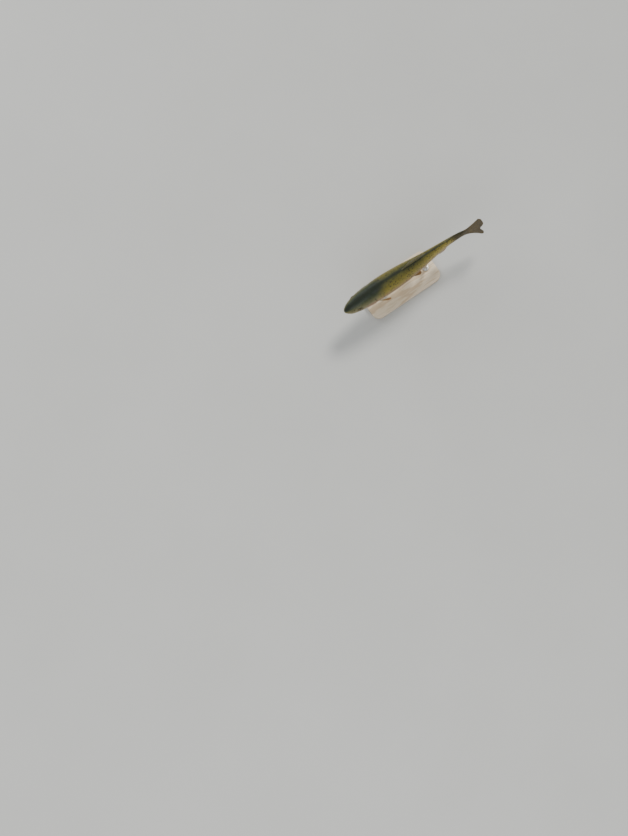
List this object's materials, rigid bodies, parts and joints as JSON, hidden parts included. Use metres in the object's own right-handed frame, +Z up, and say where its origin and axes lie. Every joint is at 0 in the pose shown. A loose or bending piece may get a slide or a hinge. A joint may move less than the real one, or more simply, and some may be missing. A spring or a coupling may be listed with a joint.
{
  "type": "rainbow trout model",
  "caption": "Life-size rainbow trout in a gentle swimming bend, fins spread, held level over a flat base by short rods.",
  "frame": {"origin": "centre of the stand base's underside, on the surface it stands on", "axes": "+X along the fish from its snout end to its tail, +Y toward its right flank, +Z up"},
  "size_m": [0.4473, 0.096, 0.1839],
  "materials": {
    "skin_head": "wet, smooth dark olive-green skin",
    "skin_gill_cover": "wet, smooth bony plate, olive over rose and pale silver",
    "skin_body": "wet scaled skin, golden olive with small dark spots, paler below",
    "fin": "thin rayed fin, olive to amber, spotted",
    "eye": "clear domed eye with a black pupil and a brassy ring",
    "stand_base": "pale, fine-grained satin wood",
    "stand_rod": "turned and brushed"
  },
  "bodies": {
    "root": {"head": "skin_head", "lower_jaw": "skin_head", "gill_cover_left": "skin_gill_cover", "gill_cover_right": "skin_gill_cover", "eye_left": "eye", "eye_right": "eye", "trunk_front": "skin_body", "trunk_rear": "skin_body", "tail_base": "skin_body", "caudal_fin": "fin", "dorsal_fin": "fin", "adipose_fin": "fin", "anal_fin": "fin", "pectoral_fin_left": "fin", "pectoral_fin_right": "fin", "pelvic_fin_left": "fin", "pelvic_fin_right": "fin", "stand_base": "stand_base", "stand_rod_front": "stand_rod", "stand_rod_rear": "stand_rod"}
  },
  "joints": []
}
